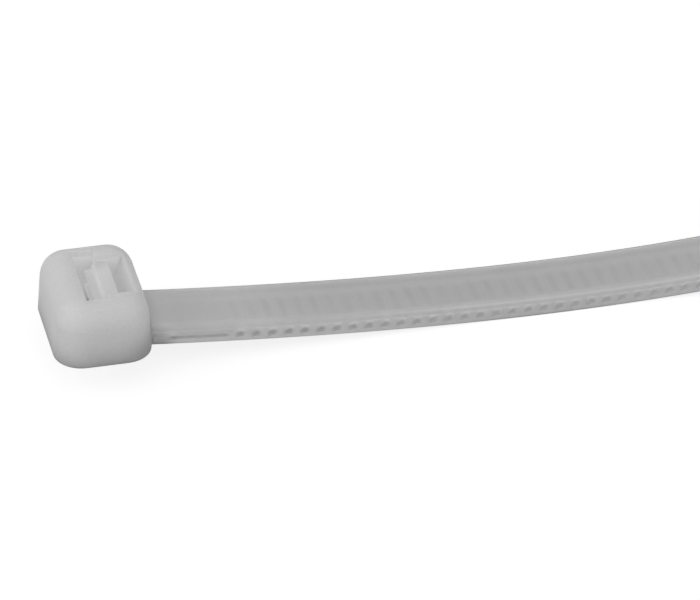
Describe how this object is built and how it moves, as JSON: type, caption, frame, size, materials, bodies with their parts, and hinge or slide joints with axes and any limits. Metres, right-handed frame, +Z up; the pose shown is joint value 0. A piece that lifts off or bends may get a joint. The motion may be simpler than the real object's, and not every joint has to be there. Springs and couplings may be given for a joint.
{
  "type": "cable tie",
  "caption": "One-piece moulded cable tie: rounded head with slot and toothed pawl, bevelled strap with a rack of teeth beneath, tapered grip tail, lying relaxed.",
  "frame": {"origin": "centre of the footprint, on the surface the tie lies on", "axes": "+X runs along the strap from the head to the tip, +Z points up and out of the slot's exit side, Y runs across the strap"},
  "size_m": [0.1562, 0.0088, 0.0061],
  "materials": {
    "nylon": "satin natural nylon, slightly see-through"
  },
  "bodies": {
    "root": {"cable_tie": "nylon"}
  },
  "joints": []
}
